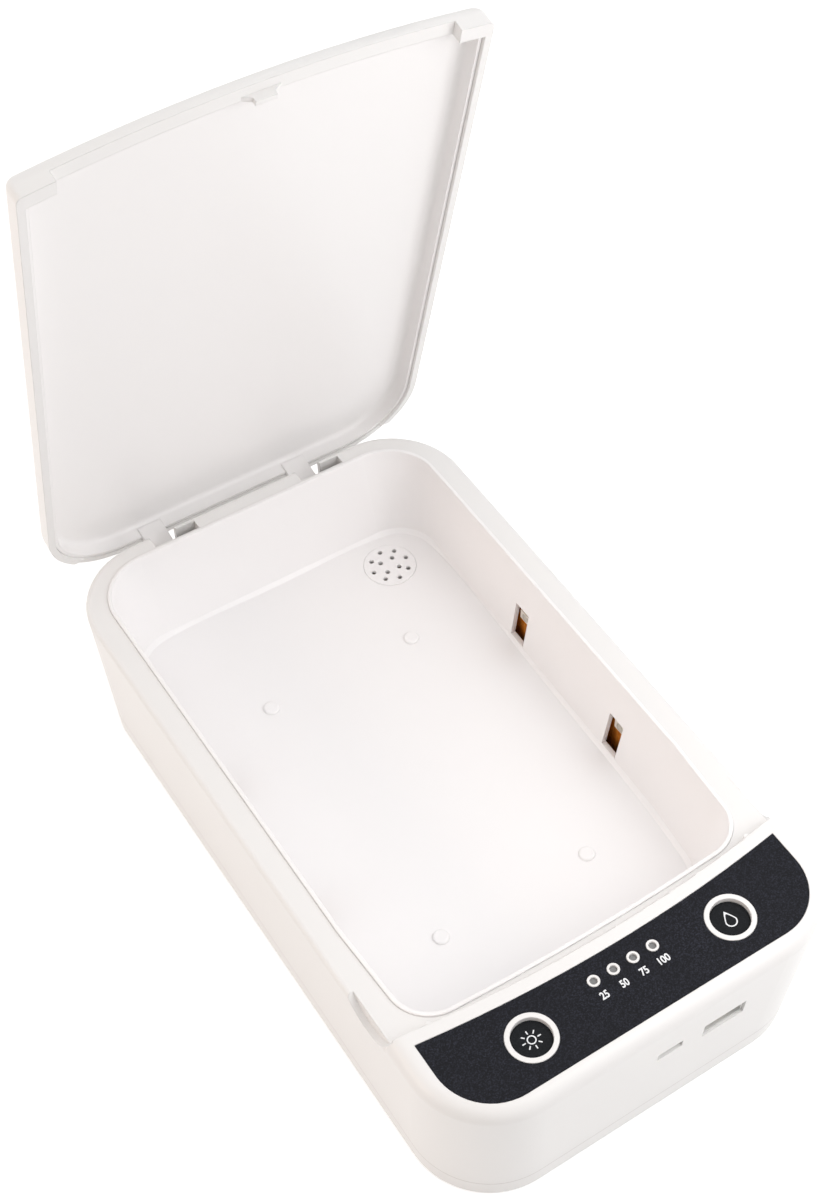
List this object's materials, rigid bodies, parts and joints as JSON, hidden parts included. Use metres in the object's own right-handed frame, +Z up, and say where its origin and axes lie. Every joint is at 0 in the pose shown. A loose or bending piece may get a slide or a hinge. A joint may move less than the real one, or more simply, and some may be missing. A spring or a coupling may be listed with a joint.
{
  "type": "uv sanitizer box",
  "caption": "Phone-sized sanitiser box with a sprung hinged lid, ultraviolet lamps behind windows in the chamber walls, push keys, progress lights, USB sockets and a scent cup.",
  "frame": {"origin": "centre of the flat underside, level with the feet", "axes": "+X to the right seen from the key end, +Y to the hinge, +Z up"},
  "size_m": [0.124, 0.2286, 0.2193],
  "materials": {
    "white_case": "glossy off-white moulded case",
    "white_inner": "glossy off-white moulded inner pieces",
    "dark_sheet": "charcoal sheet with fine speckle",
    "dark_key": "charcoal key face",
    "clear_plastic": "frosted light guide",
    "port_steel": "nickel-plated socket shell",
    "white_nylon": "pale moulded insulator",
    "lamp_board": "brown lacquered lamp board",
    "lamp_ceramic": "pale ceramic lamp package",
    "board": "green lacquered circuit board",
    "black_plastic": "black moulded package",
    "switch_stem": "grey switch stem",
    "led_white": "pale lamp package",
    "hinge_steel": "polished steel",
    "spring_steel": "yellowish plated spring wire",
    "screw_steel": "dark zinc",
    "foot_rubber": "translucent grey rubber",
    "lead_sheath": "grey sheath",
    "scent_pad": "absorbent felt",
    "heater_film": "amber film heater"
  },
  "bodies": {
    "base": {"aroma_cup": "white_nylon", "aroma_grille": "white_inner", "aroma_heater": "heater_film", "aroma_pad": "scent_pad", "board_screws": "screw_steel", "boost_inductor": "black_plastic", "bottom_cover": "white_case", "button_switches": "black_plastic", "case_screws": "screw_steel", "control_board": "board", "control_label": "dark_sheet", "controller_chip": "black_plastic", "heater_lead": "lead_sheath", "hinge_pins": "hinge_steel", "hinge_spring_left": "spring_steel", "hinge_spring_right": "spring_steel", "housing": "white_case", "indicator_leds": "led_white", "lamp_board_left": "lamp_board", "lamp_board_right": "lamp_board", "lead_connectors": "white_nylon", "lid_sensor": "black_plastic", "light_pipe": "clear_plastic", "micro_usb_shell": "port_steel", "micro_usb_tongue": "white_nylon", "rubber_feet": "foot_rubber", "tub": "white_inner", "tub_screws": "screw_steel", "usb_a_shell": "port_steel", "usb_a_tongue": "white_nylon", "uv_lamps_left": "lamp_ceramic", "uv_lamps_right": "lamp_ceramic", "uv_lead_left": "lead_sheath", "uv_lead_right": "lead_sheath"},
    "lid": {"lid_cover": "white_case", "lid_liner": "white_inner", "lid_magnet": "hinge_steel"},
    "sterilise_key": {"sterilise_button": "dark_key", "sterilise_plunger": "switch_stem"},
    "aroma_key": {"aroma_button": "dark_key", "aroma_plunger": "switch_stem"}
  },
  "joints": [
    {"name": "lid_hinge", "type": "hinge", "parent": "base", "child": "lid", "pos_m": [0, 0.1043, 0.0406], "axis": [1, 0, 0], "range_deg": [0, 75.7], "stiffness_Nm_per_rad": 0.045, "springref_deg": -28.65},
    {"name": "sterilise_press", "type": "slide", "parent": "base", "child": "sterilise_key", "axis": [0, 0, -1], "range_m": [0, 0.0006], "stiffness_N_per_m": 1500, "springref_m": -0.0003},
    {"name": "aroma_press", "type": "slide", "parent": "base", "child": "aroma_key", "axis": [0, 0, -1], "range_m": [0, 0.0006], "stiffness_N_per_m": 1500, "springref_m": -0.0003}
  ]
}
